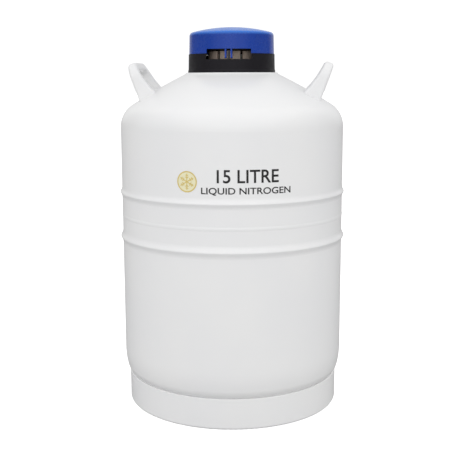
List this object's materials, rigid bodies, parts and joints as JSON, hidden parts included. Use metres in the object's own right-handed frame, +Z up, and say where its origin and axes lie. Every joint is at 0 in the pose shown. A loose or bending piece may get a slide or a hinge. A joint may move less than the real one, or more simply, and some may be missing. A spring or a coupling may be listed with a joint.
{
  "type": "liquid nitrogen dewar",
  "caption": "White enamelled vacuum-jacketed storage dewar with two strap handles, foot ring, blue lockable lid on a foam neck plug, slotted index ring and hanging canisters.",
  "frame": {"origin": "on the floor under the vessel axis, at the bottom centre of the bounding box", "axes": "+Z up along the vessel axis; the front with the lock window and the print faces -Y; handles at +X and -X"},
  "size_m": [0.3513, 0.3514, 0.584],
  "materials": {
    "white_enamel": "gloss",
    "bare_aluminium": "satin",
    "neck_tube_laminate": "satin",
    "foil_wrap": "satin",
    "stainless": "satin",
    "seal_rubber": "matte",
    "black_plastic": "satin",
    "grey_brown_plastic": "matte",
    "lug_metal": "satin",
    "blue_plastic": "satin",
    "plug_foam": "matte",
    "white_plastic": "satin"
  },
  "bodies": {
    "vessel": {"adsorbent_pack": "bare_aluminium", "foot_ring": "white_enamel", "getter_tray": "bare_aluminium", "handle_left": "white_enamel", "handle_right": "white_enamel", "index_crown": "grey_brown_plastic", "inner_seam_weld": "bare_aluminium", "inner_vessel_lower": "bare_aluminium", "inner_vessel_upper": "bare_aluminium", "insulation_wrap": "foil_wrap", "jacket_lower": "white_enamel", "jacket_seam_weld": "white_enamel", "jacket_upper": "white_enamel", "lock_lug": "lug_metal", "lug_screw": "stainless", "neck_collar": "white_enamel", "neck_collar_weld": "white_enamel", "neck_joint_ring": "bare_aluminium", "neck_ring": "black_plastic", "neck_tube": "neck_tube_laminate", "ring_screws": "stainless", "vacuum_plug": "stainless", "vacuum_plug_seal": "seal_rubber", "vacuum_port": "bare_aluminium", "vacuum_port_cap": "black_plastic"},
    "lid": {"lid_cover": "blue_plastic", "lock_prongs": "blue_plastic", "lid_liner": "black_plastic", "lid_screws": "stainless", "neck_plug": "plug_foam", "plug_end_cap": "white_plastic"},
    "canister_1": {"canister_1_cup": "stainless", "canister_1_rod": "stainless", "canister_1_grip": "black_plastic"},
    "canister_2": {"canister_2_cup": "stainless", "canister_2_rod": "stainless", "canister_2_grip": "black_plastic"},
    "canister_3": {"canister_3_cup": "stainless", "canister_3_rod": "stainless", "canister_3_grip": "black_plastic"},
    "canister_4": {"canister_4_cup": "stainless", "canister_4_rod": "stainless", "canister_4_grip": "black_plastic"},
    "canister_5": {"canister_5_cup": "stainless", "canister_5_rod": "stainless", "canister_5_grip": "black_plastic"},
    "canister_6": {"canister_6_cup": "stainless", "canister_6_rod": "stainless", "canister_6_grip": "black_plastic"}
  },
  "joints": [
    {"name": "lid_lift", "type": "slide", "parent": "vessel", "child": "lid", "axis": [0, 0, 1], "range_m": [0, 0.2]},
    {"name": "canister_1_lift", "type": "slide", "parent": "vessel", "child": "canister_1", "axis": [0, 0, 1], "range_m": [0, 0.01]},
    {"name": "canister_2_lift", "type": "slide", "parent": "vessel", "child": "canister_2", "axis": [0, 0, 1], "range_m": [0, 0.01]},
    {"name": "canister_3_lift", "type": "slide", "parent": "vessel", "child": "canister_3", "axis": [0, 0, 1], "range_m": [0, 0.01]},
    {"name": "canister_4_lift", "type": "slide", "parent": "vessel", "child": "canister_4", "axis": [0, 0, 1], "range_m": [0, 0.01]},
    {"name": "canister_5_lift", "type": "slide", "parent": "vessel", "child": "canister_5", "axis": [0, 0, 1], "range_m": [0, 0.01]},
    {"name": "canister_6_lift", "type": "slide", "parent": "vessel", "child": "canister_6", "axis": [0, 0, 1], "range_m": [0, 0.01]}
  ]
}
